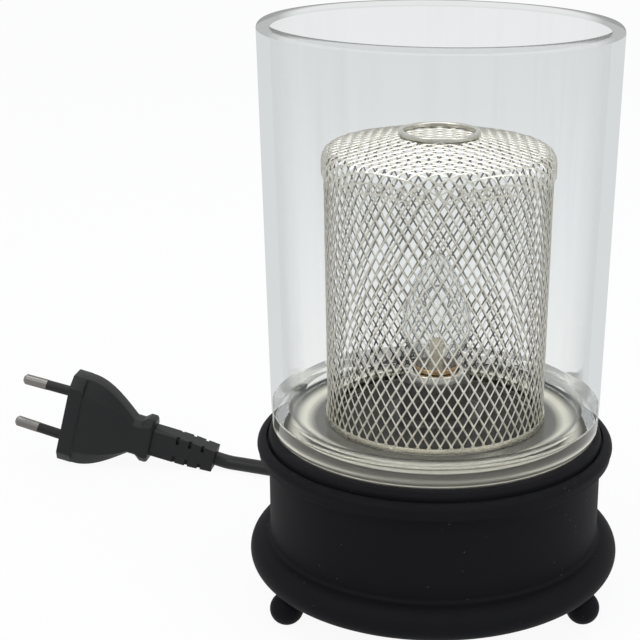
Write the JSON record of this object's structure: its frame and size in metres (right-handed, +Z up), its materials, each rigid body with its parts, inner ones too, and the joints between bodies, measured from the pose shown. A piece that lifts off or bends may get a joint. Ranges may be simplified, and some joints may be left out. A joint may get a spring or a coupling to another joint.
{
  "type": "electric wax melt warmer",
  "caption": "Small electric wax warmer: a glass jar for wax chips on a turned black base, with a domed wire mesh basket over a screw-in bulb, and a mains cord with a flat plug.",
  "frame": {"origin": "on the table under the middle of the base, in the plane of the feet's flats", "axes": "+Z up along the axis of base, basket and glass; -Y towards the viewer; +X to the viewer's right"},
  "size_m": [0.2182, 0.2145, 0.1804],
  "materials": {
    "black_paint": "matte black, fine speckle",
    "zinc_steel": "zinc plated",
    "phenolic": "black moulded resin",
    "nickel_plate": "nickel plated",
    "pale_insulator": "pale moulded resin",
    "brass": "bright brass",
    "solder": "dull solder",
    "black_moulding": "satin black moulding",
    "cord_sheath": "satin black sheath",
    "tie_strip": "black strip",
    "brown_wire": "brown insulation",
    "blue_wire": "blue insulation",
    "pin_nickel": "nickel plated",
    "bulb_glass": "clear thin glass",
    "lamp_wire": "grey wire",
    "jar_glass": "clear pressed glass",
    "mesh_nickel": "warm nickel expanded metal"
  },
  "bodies": {
    "base": {"base_shell": "black_paint", "seat_plate": "black_paint", "lamp_cup": "black_paint", "bottom_cover": "black_paint", "foot_left": "black_paint", "foot_right": "black_paint", "foot_rear": "black_paint", "foot_studs": "zinc_steel", "clamp_rod": "zinc_steel", "rod_washer": "zinc_steel", "rod_nut": "zinc_steel", "holder_body": "phenolic", "holder_cap": "phenolic", "thread_shell": "nickel_plate", "contact_block": "pale_insulator", "centre_contact": "brass", "cord_gland": "black_moulding", "inner_cord": "cord_sheath", "cord_clamp": "black_moulding", "clamp_screws": "zinc_steel", "live_wire": "brown_wire", "neutral_wire": "blue_wire", "cord_lead": "cord_sheath", "cord_coil": "cord_sheath", "cord_tail": "cord_sheath", "coil_tie": "tie_strip", "plug_body": "black_moulding", "plug_relief": "black_moulding", "plug_pins": "pin_nickel", "pin_sleeves": "black_moulding"},
    "glass": {"glass_jar": "jar_glass"},
    "basket": {"basket_side": "mesh_nickel", "basket_top": "mesh_nickel", "basket_hoop": "mesh_nickel", "vent_ring": "mesh_nickel"},
    "bulb": {"bulb_cap": "brass", "bulb_insulator": "phenolic", "bulb_contact": "solder", "bulb_glass": "bulb_glass", "bulb_stem": "bulb_glass", "filament_leads": "lamp_wire", "filament": "lamp_wire"}
  },
  "joints": [
    {"name": "glass_lift", "type": "slide", "parent": "base", "child": "glass", "axis": [0, 0, 1], "range_m": [0, 0.08]},
    {"name": "basket_lift", "type": "slide", "parent": "glass", "child": "basket", "axis": [0, 0, 1], "range_m": [0, 0.125]},
    {"name": "bulb_lift", "type": "slide", "parent": "base", "child": "bulb", "axis": [0, 0, 1], "range_m": [0, 0.02]}
  ]
}
